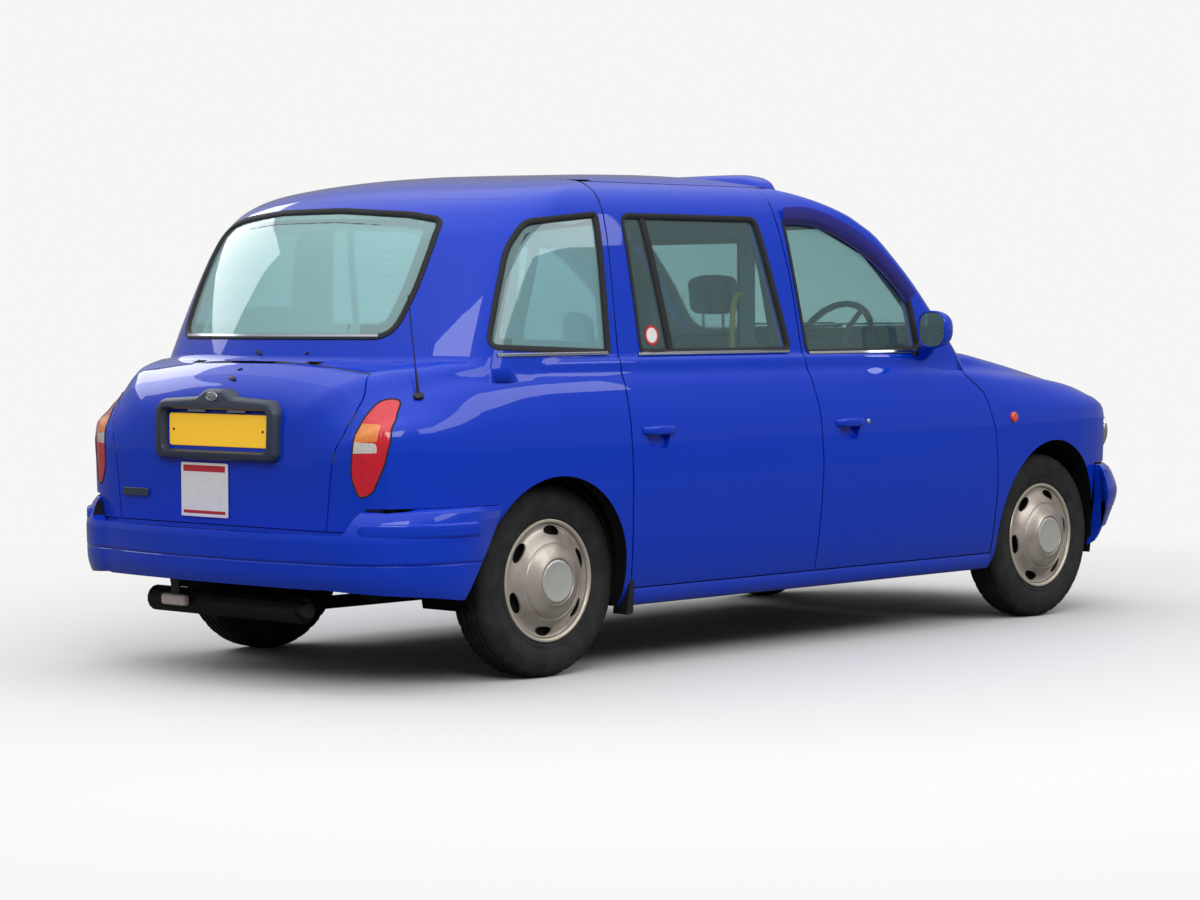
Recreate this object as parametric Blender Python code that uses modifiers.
"""A purpose-built London-style taxi cab, standing on its wheels.

Metres. +X is forward, +Y is left, +Z is up. The origin is on the ground, half way along and across the cab.
The right side is modelled and the left side is its mirror, except for the driver's place, which is on the right.
"""

import math

import bmesh
import bpy
import numpy as np
from mathutils import Matrix, Vector

# Overall sizes
LENGTH = 4.575
MIRROR_HALF_WIDTH = 1.018
HEIGHT = 1.790

# Running gear
WHEELBASE = 2.886
FRONT_AXLE_X = 1.5075
REAR_AXLE_X = FRONT_AXLE_X - WHEELBASE
TRACK_HALF = 0.7125
TYRE_RADIUS = 0.3345
RIM_RADIUS = 0.212
RIM_SEAT_RADIUS = 0.203
HUB_BORE = 0.030
KINGPIN_INSET = 0.075
WHEEL_Z = TYRE_RADIUS

# Walls and gaps
WALL = 0.050
LOWER_WALL = 0.055
SHUT_GAP = 0.008
SEAT_GAP = 0.0004
GLASS = 0.006

# Levels
SILL_Z = 0.225
DOOR_FOOT_Z = 0.290
DOOR_TOP_Z = 1.712

BODY_BLUE = (0.004, 0.030, 0.400)
RUBBER = (0.015, 0.015, 0.016)
TRIM_BLACK = (0.020, 0.021, 0.023)
TRIM_SILVER = (0.42, 0.36, 0.30)
GLASS_TINT = (0.55, 0.75, 0.72)
CHASSIS_BLACK = (0.030, 0.030, 0.030)
SEAT_GREY = (0.10, 0.11, 0.13)
LAMP_RED = (0.60, 0.01, 0.02)
LAMP_CLEAR = (0.80, 0.82, 0.85)

for old in list(bpy.data.objects):
    bpy.data.objects.remove(old, do_unlink=True)

PARTS = bpy.data.collections.new("taxi_cab")
CUTTERS = bpy.data.collections.new("cutters")
bpy.context.scene.collection.children.link(PARTS)
bpy.context.scene.collection.children.link(CUTTERS)


def material(name, colour, roughness, metallic=0.0):
    """A Principled material with the finish of the real piece."""
    made = bpy.data.materials.new(name)
    made.use_nodes = True
    shader = made.node_tree.nodes["Principled BSDF"]
    shader.inputs["Base Color"].default_value = (*colour, 1.0)
    shader.inputs["Roughness"].default_value = roughness
    shader.inputs["Metallic"].default_value = metallic
    made.diffuse_color = (*colour, 1.0)
    return made


PAINT = material("blue_paint", BODY_BLUE, 0.15)
TYRE_RUBBER = material("tyre_rubber", RUBBER, 0.85)
WHEEL_PAINT = material("wheel_silver", TRIM_SILVER, 0.35, 0.8)
CLEAR_GLASS = material("window_glass", GLASS_TINT, 0.05)
BLACK_TRIM = material("black_trim", TRIM_BLACK, 0.6)
CHASSIS = material("chassis_black", CHASSIS_BLACK, 0.7)
CLOTH = material("seat_vinyl", SEAT_GREY, 0.7)
RED_LENS = material("red_lens", LAMP_RED, 0.1)
CLEAR_LENS = material("clear_lens", LAMP_CLEAR, 0.05)
CAST_IRON = material("cast_iron", (0.16, 0.16, 0.17), 0.6, 0.7)


def new_object(name, mesh, finish, group=None):
    """An object in the cab's collection, or in the group given."""
    made = bpy.data.objects.new(name, mesh)
    mesh.materials.clear()
    if finish is not None:
        mesh.materials.append(finish)
    (group or PARTS).objects.link(made)
    return made


def helper(name, mesh):
    """A cutter or a guide: it shows as a wire and isn't a piece."""
    made = new_object(name, mesh, None, CUTTERS)
    made.hide_render = True
    made.display_type = "WIRE"
    return made


def mesh_of(name, working):
    """The finished mesh of a bmesh, with its normals facing out."""
    bmesh.ops.recalc_face_normals(working, faces=working.faces)
    mesh = bpy.data.meshes.new(name)
    working.to_mesh(mesh)
    working.free()
    return mesh


def boolean(target, operation, *others, solver="MANIFOLD"):
    """Cuts, joins or intersects the target with the others and removes them.

    The body's skins have many nearly flat facets, on which the EXACT solver leaves stray pieces, so they use MANIFOLD.
    """
    for other in others:
        modifier = target.modifiers.new("cut", "BOOLEAN")
        modifier.operation = operation
        modifier.solver = solver
        modifier.object = other
        bpy.context.view_layer.update()
        graph = bpy.context.evaluated_depsgraph_get()
        made = bpy.data.meshes.new_from_object(target.evaluated_get(graph))
        target.modifiers.clear()
        old = target.data
        target.data = made
        made.name = target.name
        finish = made.materials[0] if made.materials else None
        made.materials.clear()
        if finish is not None:
            made.materials.append(finish)
        made.polygons.foreach_set("material_index", [0] * len(made.polygons))
        bpy.data.meshes.remove(old)
        bpy.data.objects.remove(other, do_unlink=True)
    return target


def copy_of(source, name, finish=None, group=None):
    """A separate copy of an object's mesh."""
    mesh = source.data.copy()
    if group is CUTTERS:
        return helper(name, mesh)
    return new_object(name, mesh, finish or (source.data.materials[0] if source.data.materials else None), group)


def mirrored(source, name):
    """The left-hand copy of a right-hand piece."""
    working = bmesh.new()
    working.from_mesh(source.data)
    working.transform(source.matrix_world)
    working.transform(Matrix.Scale(-1, 4, (0, 1, 0)))
    bmesh.ops.reverse_faces(working, faces=working.faces)
    mesh = bpy.data.meshes.new(name)
    working.to_mesh(mesh)
    working.free()
    return new_object(name, mesh, source.data.materials[0])


def prism(name, outline, low, high, axis="Y"):
    """A straight prism of a flat outline: (x, z) along Y, (y, z) along X or (x, y) along Z."""
    place = {
        "Y": lambda a, b, depth: (a, depth, b),
        "X": lambda a, b, depth: (depth, a, b),
        "Z": lambda a, b, depth: (a, b, depth),
    }[axis]
    working = bmesh.new()
    foot = [working.verts.new(place(a, b, low)) for a, b in outline]
    face = working.faces.new(foot)
    top = bmesh.ops.extrude_face_region(working, geom=[face])
    shift = Vector(place(0.0, 0.0, high)) - Vector(place(0.0, 0.0, low))
    moved = [v for v in top["geom"] if isinstance(v, bmesh.types.BMVert)]
    bmesh.ops.translate(working, vec=shift, verts=moved)
    return helper(name, mesh_of(name, working))


def box(name, low, high):
    """A box between two corners, as a cutter."""
    working = bmesh.new()
    bmesh.ops.create_cube(working, size=1.0)
    low, high = Vector(low), Vector(high)
    size = high - low
    bmesh.ops.scale(working, vec=size, verts=working.verts)
    bmesh.ops.translate(working, vec=(low + high) / 2, verts=working.verts)
    return helper(name, mesh_of(name, working))


def rod(name, start, end, radius, sides=16):
    """A round bar between two points, as a cutter or a part to join."""
    start, end = Vector(start), Vector(end)
    along = end - start
    working = bmesh.new()
    bmesh.ops.create_cone(
        working, cap_ends=True, segments=sides, radius1=radius, radius2=radius, depth=along.length
    )
    turn = Vector((0, 0, 1)).rotation_difference(along).to_matrix().to_4x4()
    working.transform(Matrix.Translation((start + end) / 2) @ turn)
    return helper(name, mesh_of(name, working))


def piece(name, helper_object, finish):
    """Turns a helper into a named piece of the cab."""
    mesh = helper_object.data
    bpy.data.objects.remove(helper_object, do_unlink=True)
    return new_object(name, mesh, finish)


def rounded(corners, steps=4):
    """An outline whose corners (a, b, radius) are turned into arcs."""
    points = []
    count = len(corners)
    for index, (a, b, radius) in enumerate(corners):
        here = Vector((a, b))
        before = Vector(corners[index - 1][:2]) - here
        after = Vector(corners[(index + 1) % count][:2]) - here
        if radius <= 0:
            points.append((a, b))
            continue
        half = before.angle(after) / 2
        reach = min(radius / math.tan(half), 0.48 * before.length, 0.48 * after.length)
        first = here + before.normalized() * reach
        last = here + after.normalized() * reach
        for step in range(steps + 1):
            share = step / steps
            point = (1 - share) ** 2 * first + 2 * share * (1 - share) * here + share**2 * last
            points.append((point.x, point.y))
    return points


def shrunk(outline, by):
    """An outline moved inwards by a distance, or outwards if that is negative."""
    area = sum(
        a[0] * b[1] - b[0] * a[1] for a, b in zip(outline, outline[1:] + outline[:1])
    )
    side = 1 if area > 0 else -1
    moved = []
    count = len(outline)
    for index, point in enumerate(outline):
        here = Vector(point)
        back = (here - Vector(outline[index - 1])).normalized()
        ahead = (Vector(outline[(index + 1) % count]) - here).normalized()
        inward = Vector((-(back.y + ahead.y), back.x + ahead.x)) * side
        inward.normalize()
        share = max(0.5, inward.dot(Vector((-back.y, back.x)) * side))
        spot = here + inward * by / share
        moved.append((spot.x, spot.y))
    return moved


def smooth_columns(table, at):
    """Monotone cubic values of every column of a table at the places given; column 0 is the place."""
    table = np.asarray(table, float)
    x, y = table[:, 0], table[:, 1:]
    step = np.diff(x)[:, None]
    slope = np.diff(y, axis=0) / step
    tangent = np.zeros_like(y)
    both = slope[:-1] * slope[1:]
    weight_a, weight_b = 2 * step[1:] + step[:-1], step[1:] + 2 * step[:-1]
    safe = np.where(both > 0, slope[:-1], 1.0), np.where(both > 0, slope[1:], 1.0)
    mean = (weight_a + weight_b) / (weight_a / safe[0] + weight_b / safe[1])
    tangent[1:-1] = np.where(both > 0, mean, 0.0)
    tangent[0], tangent[-1] = slope[0], slope[-1]
    at = np.clip(np.asarray(at, float), x[0], x[-1])
    cell = np.clip(np.searchsorted(x, at) - 1, 0, len(x) - 2)
    width = (x[cell + 1] - x[cell])[:, None]
    t = (at - x[cell])[:, None] / width
    low, high = y[cell], y[cell + 1]
    low_slope, high_slope = tangent[cell] * width, tangent[cell + 1] * width
    return (
        low * (2 * t**3 - 3 * t**2 + 1)
        + low_slope * (t**3 - 2 * t**2 + t)
        + high * (3 * t**2 - 2 * t**3)
        + high_slope * (t**3 - t**2)
    )


def spline(points, per_span):
    """Points along a Catmull-Rom curve through the points given, with the ends kept."""
    points = np.asarray(points, float)
    padded = np.vstack([2 * points[0] - points[1], points, 2 * points[-1] - points[-2]])
    out = []
    for index in range(len(points) - 1):
        a, b, c, d = padded[index : index + 4]
        for t in np.arange(per_span) / per_span:
            out.append(
                0.5 * (2 * b + (c - a) * t + (2 * a - 5 * b + 4 * c - d) * t**2 + (3 * b - a - 3 * c + d) * t**3)
            )
    out.append(points[-1])
    return np.array(out)


# The lower body, from bumper line to bumper line.
# x, half width at its widest, shoulder half width, shoulder z, deck edge half width, deck edge z, crown z
LOWER_BODY = (
    (-2.180, 0.480, 0.440, 0.800, 0.310, 0.860, 0.890),
    (-2.172, 0.600, 0.550, 0.830, 0.400, 0.905, 0.945),
    (-2.150, 0.700, 0.640, 0.865, 0.470, 0.955, 1.000),
    (-2.110, 0.770, 0.708, 0.892, 0.540, 1.000, 1.048),
    (-2.050, 0.815, 0.758, 0.918, 0.610, 1.035, 1.085),
    (-1.950, 0.847, 0.798, 0.950, 0.695, 1.062, 1.115),
    (-1.780, 0.868, 0.838, 0.978, 0.775, 1.087, 1.130),
    (-1.400, 0.884, 0.862, 0.985, 0.820, 1.100, 1.135),
    (-0.800, 0.889, 0.866, 0.985, 0.828, 1.100, 1.135),
    (0.200, 0.889, 0.866, 0.985, 0.828, 1.100, 1.135),
    (0.900, 0.887, 0.860, 0.983, 0.800, 1.085, 1.128),
    (1.200, 0.882, 0.845, 0.975, 0.745, 1.050, 1.110),
    (1.500, 0.870, 0.818, 0.960, 0.690, 1.004, 1.060),
    (1.700, 0.852, 0.792, 0.938, 0.640, 0.972, 1.020),
    (1.850, 0.822, 0.755, 0.912, 0.590, 0.948, 0.986),
    (1.960, 0.782, 0.715, 0.882, 0.530, 0.922, 0.952),
    (2.050, 0.712, 0.650, 0.840, 0.470, 0.885, 0.918),
    (2.110, 0.600, 0.545, 0.785, 0.390, 0.825, 0.856),
    (2.140, 0.460, 0.420, 0.730, 0.300, 0.765, 0.790),
    (2.155, 0.300, 0.270, 0.695, 0.180, 0.715, 0.735),
)
LOWER_STATIONS = (
    -2.180, -2.172, -2.150, -2.110, -2.050, -1.950, -1.780, -1.40, -0.80, -0.30, 0.20, 0.60, 0.90, 1.10, 1.30, 1.50,
    1.70, 1.85, 1.96, 2.05, 2.11, 2.14, 2.155,
)
# The side of the lower body below the shoulder: z, share of the widest half width
SIDE_PROFILE = (
    (0.225, 0.905),
    (0.290, 0.945),
    (0.420, 0.972),
    (0.560, 0.990),
    (0.700, 1.000),
    (0.860, 0.997),
)
SIDE_STEPS = (0.0, 0.10, 0.31, 0.53, 0.75, 1.0)


def lower_section(columns, inset, base_z, fineness):
    """Half of one section of the lower body, from its foot at the centre line over the side to the crown."""
    wide, shoulder_y, shoulder_z, deck_y, deck_z, crown_z = columns
    wide, shoulder_y, deck_y = wide - inset, shoulder_y - inset, deck_y - 0.8 * inset
    shoulder_z, deck_z, crown_z = shoulder_z - 0.5 * inset, deck_z - 0.9 * inset, crown_z - inset
    top = min(SIDE_PROFILE[-1][0], shoulder_z - 0.040)
    levels = SILL_Z + (top - SILL_Z) * np.array(SIDE_STEPS)
    shares = smooth_columns(SIDE_PROFILE, levels)[:, 0]
    side = [(wide * share, z) for z, share in zip(levels, shares)]
    rise = crown_z - deck_z
    side += [
        (shoulder_y, shoulder_z), ((shoulder_y + deck_y) / 2, (shoulder_z + deck_z) / 2), (deck_y, deck_z),
        (deck_y * 0.82, deck_z + 0.32 * rise), (deck_y * 0.45, deck_z + 0.78 * rise),
    ]
    side.append((0.0, crown_z))
    curve = spline(side, fineness)
    rows = [(0.0, base_z), (curve[0, 0], base_z)]
    if curve[0, 1] > base_z + 1e-4:
        rows.append(tuple(curve[0]))
    return rows + [tuple(p) for p in curve[1:]]


def skin_rings(name, rings):
    """A closed solid through half rings that start and end on the centre plane."""
    working = bmesh.new()
    rows = []
    for ring in rings:
        right = [working.verts.new((x, -y, z)) for x, y, z in ring]
        left = [
            right[i] if ring[i][1] == 0.0 else working.verts.new((x, y, z))
            for i, (x, y, z) in enumerate(ring)
        ]
        rows.append((right, left))
    for (right_a, left_a), (right_b, left_b) in zip(rows, rows[1:]):
        for i in range(len(right_a) - 1):
            for a, b in ((right_a, right_b), (left_a, left_b)):
                corners = [a[i], a[i + 1], b[i + 1], b[i]]
                unique = [v for n, v in enumerate(corners) if v not in corners[:n]]
                if len(unique) > 2:
                    working.faces.new(unique)
    for right, left in (rows[0], rows[-1]):
        loop = right + [v for v in reversed(left[1:-1])]
        working.faces.new(loop)
    return helper(name, mesh_of(name, working))


def lower_body(name, inset=0.0, base_z=SILL_Z, fineness=2):
    """The lower body as one solid, moved inwards by the inset."""
    span = LOWER_STATIONS[-1]
    columns = smooth_columns(LOWER_BODY, LOWER_STATIONS)
    rings = []
    for x, row in zip(LOWER_STATIONS, columns):
        section = lower_section(row, inset, base_z, fineness)
        rings.append([(x * (1 - inset / span), y, z) for y, z in section])
    return skin_rings(name, rings)


# The cab above the belt, as plan outlines one above the other.
# z, rear x at the centre, front x at the centre, half width, rear corner, front corner, rear bow, front bow
GREENHOUSE = (
    (1.020, -2.035, 1.200, 0.842, 0.330, 0.160, 0.080, 0.150),
    (1.110, -2.005, 1.135, 0.831, 0.330, 0.160, 0.080, 0.150),
    (1.250, -1.950, 1.000, 0.817, 0.330, 0.150, 0.080, 0.145),
    (1.400, -1.885, 0.850, 0.801, 0.330, 0.150, 0.080, 0.140),
    (1.530, -1.820, 0.692, 0.784, 0.330, 0.150, 0.080, 0.140),
    (1.600, -1.775, 0.580, 0.769, 0.340, 0.160, 0.085, 0.150),
    (1.650, -1.720, 0.465, 0.748, 0.340, 0.180, 0.090, 0.160),
    (1.690, -1.640, 0.330, 0.716, 0.330, 0.200, 0.100, 0.170),
    (1.720, -1.520, 0.180, 0.660, 0.320, 0.220, 0.110, 0.180),
    (1.742, -1.360, 0.020, 0.575, 0.300, 0.230, 0.120, 0.190),
    (1.757, -1.140, -0.180, 0.440, 0.250, 0.220, 0.110, 0.160),
    (1.765, -0.880, -0.420, 0.250, 0.150, 0.140, 0.070, 0.080),
)
ROOF_RISE = 0.020
ROOF_MIDDLE_X = -0.500
CORNER_FULLNESS = 0.707
STEEPEST_BOW = 0.85


def plan_corner(start, end, slope, count):
    """A rounded corner of a plan outline: it leaves the end's bow at its slope and meets the straight side."""
    knee = (start[0] + (end[1] - start[1]) * slope, end[1])
    points = []
    for t in np.linspace(0.0, 1.0, count + 1)[1:]:
        weights = (1 - t) ** 2, 2 * CORNER_FULLNESS * t * (1 - t), t**2
        total = sum(weights)
        points.append(tuple(
            sum(w * p[axis] for w, p in zip(weights, (start, knee, end))) / total for axis in (0, 1)
        ))
    return points


def greenhouse_ring(row, z, inset, counts):
    """Half of one plan outline, from the rear centre round the side to the front centre."""
    rear_x, front_x, half, rear_corner, front_corner, rear_bow, front_bow = row
    rear_x, front_x, half = rear_x + inset, front_x - inset, half - inset
    rear_y, front_y = half - rear_corner, half - front_corner
    end_count, corner_count, side_count = counts
    steps = np.linspace(0.0, 1.0, end_count)
    side_rear, side_front = rear_x + rear_bow + rear_corner, front_x - front_bow - front_corner
    rear_slope = min(STEEPEST_BOW, 2 * rear_bow / rear_y)
    front_slope = -min(STEEPEST_BOW, 2 * front_bow / front_y)
    points = [(rear_x + rear_bow * t**2, rear_y * t) for t in steps]
    points += plan_corner(points[-1], (side_rear, half), rear_slope, corner_count)
    points += [(side_rear + (side_front - side_rear) * t, half) for t in np.linspace(0.0, 1.0, side_count + 1)[1:]]
    front = [(front_x - front_bow * t**2, front_y * t) for t in steps]
    corner = plan_corner(front[-1], (side_front, half), front_slope, corner_count)
    points += corner[-2::-1] + front[::-1]
    rise = ROOF_RISE * max(0.0, min(1.0, (z - 1.45) / 0.30))
    return [(x, y, z - inset_z(z, inset) + rise * (x - ROOF_MIDDLE_X)) for x, y in points]


def inset_z(z, inset):
    """How far a level of the inner skin drops below the outer one: nothing at the belt, the whole wall at the roof."""
    return inset * max(0.0, min(1.0, (z - 1.60) / 0.14))


def greenhouse(name, inset=0.0, counts=(5, 5, 6)):
    """The cab above the belt as one solid, moved inwards by the inset."""
    levels = [row[0] for row in GREENHOUSE]
    rings = [greenhouse_ring(row[1:], z, inset, counts) for z, row in zip(levels, GREENHOUSE)]
    return skin_rings(name, rings)


def outer_solid(name):
    """The whole outer form of the cab's body."""
    return boolean(lower_body(name), "UNION", greenhouse("upper"))


def inner_solid(name):
    """The hollow inside the body's walls, open at the bottom."""
    hollow = lower_body(name, LOWER_WALL, base_z=0.10, fineness=1)
    return boolean(hollow, "UNION", greenhouse("upper", WALL, (4, 4, 3)))


SHELL = boolean(outer_solid("shell"), "DIFFERENCE", inner_solid("hollow"))


def shell_part(name, *outlines, low=-1.2, high=0.0, axis="Y"):
    """The stretch of the body shell inside a flat outline."""
    part = copy_of(SHELL, name, PAINT)
    for index, outline in enumerate(outlines):
        boolean(part, "INTERSECT", prism(f"{name}_{index}", outline, low, high, axis))
    return part


# Shut lines and openings, seen from the right side as (x, z)
REAR_SHUT = (
    (-1.022, 0.20), (-1.030, 0.34), (-1.052, 0.56), (-1.068, 0.86), (-1.076, 1.11), (-1.082, 1.50), (-1.086, 1.90),
)
MIDDLE_SHUT = (
    (-0.017, 0.20), (-0.0205, 0.69), (-0.038, 0.90), (-0.078, 1.10), (-0.1205, 1.38), (-0.160, 1.60), (-0.195, 1.90),
)
FRONT_SHUT = (
    (1.090, 0.20), (1.090, 0.56), (1.062, 0.78), (1.000, 0.930), (0.905, 1.000), (0.862, 1.080), (0.815, 1.160),
    (0.752, 1.260), (0.688, 1.360), (0.600, 1.455), (0.480, 1.545), (0.335, 1.622), (0.150, 1.680), (-0.05, 1.712),
)
FRONT_ARCH = (1.490, 0.340, 0.368, 0.388)
REAR_ARCH = (-1.412, 0.340, 0.352, 0.358)
REAR_DOOR_GLASS = (
    (-1.000, 1.598, 0.045), (-0.274, 1.598, 0.045), (-0.140, 1.108, 0.030), (-0.960, 1.108, 0.030),
)
FRONT_DOOR_GLASS = (
    (-0.126, 1.600, 0.030), (0.075, 1.590, 0.15), (0.400, 1.462, 0.20), (0.600, 1.300, 0.10), (0.640, 1.100, 0.030),
    (-0.052, 1.100, 0.030),
)
QUARTER_GLASS = (
    (-1.118, 1.590, 0.050), (-1.450, 1.585, 0.14), (-1.600, 1.470, 0.12), (-1.695, 1.220, 0.08), (-1.680, 1.125, 0.045),
    (-1.118, 1.110, 0.035),
)


def line_at(line, z):
    """The x of a shut line at a height."""
    heights = [p[1] for p in line]
    return float(np.interp(z, heights, [p[0] for p in line]))


def line_points(line, low, high):
    """The points of a shut line between two heights, from the foot up."""
    inside = [(x, z) for x, z in line if low < z < high]
    return [(line_at(line, low), low), *inside, (line_at(line, high), high)]


def shifted(points, by):
    return [(x + by, z) for x, z in points]


def offset_line(points, by, flat_top=False):
    """An open line moved sideways by a distance, to the right of its direction; its foot keeps its height."""
    moved = []
    last = len(points) - 1
    for index, (x, z) in enumerate(points):
        before, after = points[max(index - 1, 0)], points[min(index + 1, last)]
        along = Vector((after[0] - before[0], after[1] - before[1])).normalized()
        if index == 0:
            moved.append((x + by, z))
        elif index == last and flat_top:
            moved.append((x + by / max(along.y, 0.3), z))
        else:
            moved.append((x + by * along.y, z - by * along.x))
    return moved


def arch_cutter(name, arch, grow=0.0, low=-1.2, high=-0.2):
    """The wheel opening in the body side: an ellipse with straight legs below its centre."""
    x, z, half, rise = arch
    half, rise = half + grow, rise + grow
    outline = [(x + half, 0.0)]
    for step in range(13):
        angle = math.pi * step / 12
        outline.append((x + half * math.cos(angle), z + rise * math.sin(angle)))
    outline.append((x - half, 0.0))
    return prism(name, outline, low, high)


def pane(name, outline, grow=-0.002, depth=GLASS):
    """A sheet of glass that fills an opening in the side, a little way in from the outer skin."""
    sheet = greenhouse("pane_outer", 0.016, (5, 5, 6))
    boolean(sheet, "DIFFERENCE", greenhouse("pane_inner", 0.016 + depth, (5, 5, 6)))
    boolean(sheet, "INTERSECT", prism("pane_edge", shrunk(outline, -grow), -1.2, -0.35))
    return piece(name, sheet, CLEAR_GLASS)


# Where the outer skin of the side stands at the doors: z, half width
SIDE_SKIN = (
    (0.225, 0.804), (0.290, 0.840), (0.420, 0.864), (0.560, 0.880), (0.700, 0.889), (0.860, 0.886), (0.985, 0.866),
    (1.110, 0.831), (1.250, 0.817), (1.400, 0.801), (1.530, 0.784), (1.600, 0.769), (1.650, 0.748), (1.712, 0.680),
)
REAR_EDGE_LEAN = 0.32


def door_cutter(name, front_edge, rear_edge, low, high):
    """The outline of a door, whose rear edge leans forward going inwards so that it swings clear of the next panel."""
    heights, widths = zip(*SIDE_SKIN)
    foot, head = rear_edge[0][1], rear_edge[-1][1]
    levels = sorted({z for _, z in rear_edge} | {z for z in heights if foot < z < head})
    rear_edge = [(line_at(rear_edge, z), z) for z in levels]
    working = bmesh.new()
    rings = []
    for depth in (low, high):
        lean = [(x + REAR_EDGE_LEAN * (float(np.interp(z, heights, widths)) + depth), z) for x, z in rear_edge]
        outline = list(lean) + list(reversed(front_edge))
        rings.append([working.verts.new((x, depth, z)) for x, z in outline])
    outer, inner = rings
    working.faces.new(outer)
    working.faces.new(inner)
    for index in range(len(outer)):
        ahead = (index + 1) % len(outer)
        working.faces.new((outer[index], outer[ahead], inner[ahead], inner[index]))
    return helper(name, mesh_of(name, working))


half_gap = SHUT_GAP / 2

# Doors
DOOR_EDGES = {
    "rear": (
        shifted(line_points(MIDDLE_SHUT, DOOR_FOOT_Z, DOOR_TOP_Z), -half_gap),
        shifted(line_points(REAR_SHUT, DOOR_FOOT_Z, DOOR_TOP_Z), half_gap),
    ),
    "front": (
        offset_line(line_points(FRONT_SHUT, DOOR_FOOT_Z, DOOR_TOP_Z - 0.0005), -half_gap),
        shifted(line_points(MIDDLE_SHUT, DOOR_FOOT_Z, DOOR_TOP_Z), half_gap),
    ),
}
DOOR_GLASS = {"rear": rounded(REAR_DOOR_GLASS), "front": rounded(FRONT_DOOR_GLASS)}
GLASS_GAP = 0.0006

for place in ("rear", "front"):
    door = copy_of(SHELL, f"door_{place}_right", PAINT)
    boolean(door, "INTERSECT", door_cutter("door_edge", *DOOR_EDGES[place], -1.2, -0.40))
    boolean(door, "DIFFERENCE", prism("window", DOOR_GLASS[place], -1.2, -0.35))
    pane(f"door_glass_{place}_right", DOOR_GLASS[place], -GLASS_GAP)

# Body side behind the rear door
TAIL_SPLIT_Y = 0.672
BOOT_TOP_Z = 1.090
BOOT_FOOT_Z = 0.535
BOOT_SHUT = (
    (0.532, 0.500), (0.545, 0.560), (0.572, 0.762), (0.620, 0.884), (0.629, 0.969), (0.612, 1.025), (0.590, 1.060),
    (0.560, 1.090),
)
LID_FRONT_X = -2.030
BUMPER_TOP_Z = 0.612
BUMPER_CENTRE_Z = 0.525
REAR_BUMPER_END_X = -1.700
NOTCH_Y = 0.700
quarter_outline = [
    *shifted(line_points(REAR_SHUT, SILL_Z - 0.02, DOOR_TOP_Z + SHUT_GAP), -half_gap),
    (-2.4, DOOR_TOP_Z + SHUT_GAP),
    (-2.4, BOOT_FOOT_Z),
    (REAR_BUMPER_END_X, BOOT_FOOT_Z),
    (REAR_BUMPER_END_X, SILL_Z - 0.02),
]
quarter = shell_part("quarter_panel_right", quarter_outline, low=-1.2, high=-0.11)
tail_region = [(0.1, BOOT_TOP_Z), (0.1, 1.90), (-TAIL_SPLIT_Y, 1.90), (-TAIL_SPLIT_Y, BOOT_TOP_Z)]
boot_side = [(-y - half_gap, z) for y, z in BOOT_SHUT]
boot_region = [
    (0.1, 0.30), (0.1, BOOT_TOP_Z + 0.01), (boot_side[-1][0], BOOT_TOP_Z + 0.01), *reversed(boot_side),
    (boot_side[0][0], 0.30),
]
boolean(quarter, "DIFFERENCE", prism("tail_region", tail_region, -2.4, -1.2, "X"))
boolean(quarter, "DIFFERENCE", prism("boot_region", boot_region, -2.4, LID_FRONT_X + SHUT_GAP, "X"))
bumper_corner = [
    (-1.2, 0.1), (-NOTCH_Y + 0.042, 0.1), (-NOTCH_Y + 0.042, BUMPER_CENTRE_Z),
    (-NOTCH_Y - 0.002, BUMPER_TOP_Z + 0.002), (-1.2, BUMPER_TOP_Z + 0.002),
]
boolean(quarter, "DIFFERENCE", prism("bumper_corner", bumper_corner, -2.4, REAR_BUMPER_END_X, "X"))
boolean(quarter, "DIFFERENCE", prism("quarter_window", rounded(QUARTER_GLASS), -1.2, -0.35))
boolean(quarter, "DIFFERENCE", arch_cutter("rear_arch", REAR_ARCH))
# The wall is thinned where the tyre turns inside it
TYRE_ROOM = TYRE_RADIUS + 0.008
tyre_room = rod("tyre_room", (REAR_AXLE_X, -0.800, WHEEL_Z), (REAR_AXLE_X, -0.300, WHEEL_Z), TYRE_ROOM, 48)
boolean(quarter, "DIFFERENCE", tyre_room)
pane("quarter_glass_right", rounded(QUARTER_GLASS), -GLASS_GAP)

# Tail lamp: a tall leaf on the rear corner
TAIL_LAMP = (
    (-0.738, 0.972, 0.05), (-0.672, 0.860, 0.15), (-0.645, 0.700, 0.06), (-0.700, 0.648, 0.05), (-0.772, 0.760, 0.08),
    (-0.788, 0.880, 0.10),
)
lamp_edge = rounded(TAIL_LAMP)
boolean(quarter, "DIFFERENCE", box("hinge_room", (-2.100, -0.335, 0.980), (-1.990, -0.265, 1.100)))
boolean(quarter, "DIFFERENCE", prism("lamp_hole", shrunk(lamp_edge, -0.001), -2.4, -1.85, "X"))
lamp = shell_part("tail_lamp_right", lamp_edge, low=-2.4, high=-1.85, axis="X")
lamp.data.materials[0] = RED_LENS

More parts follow.
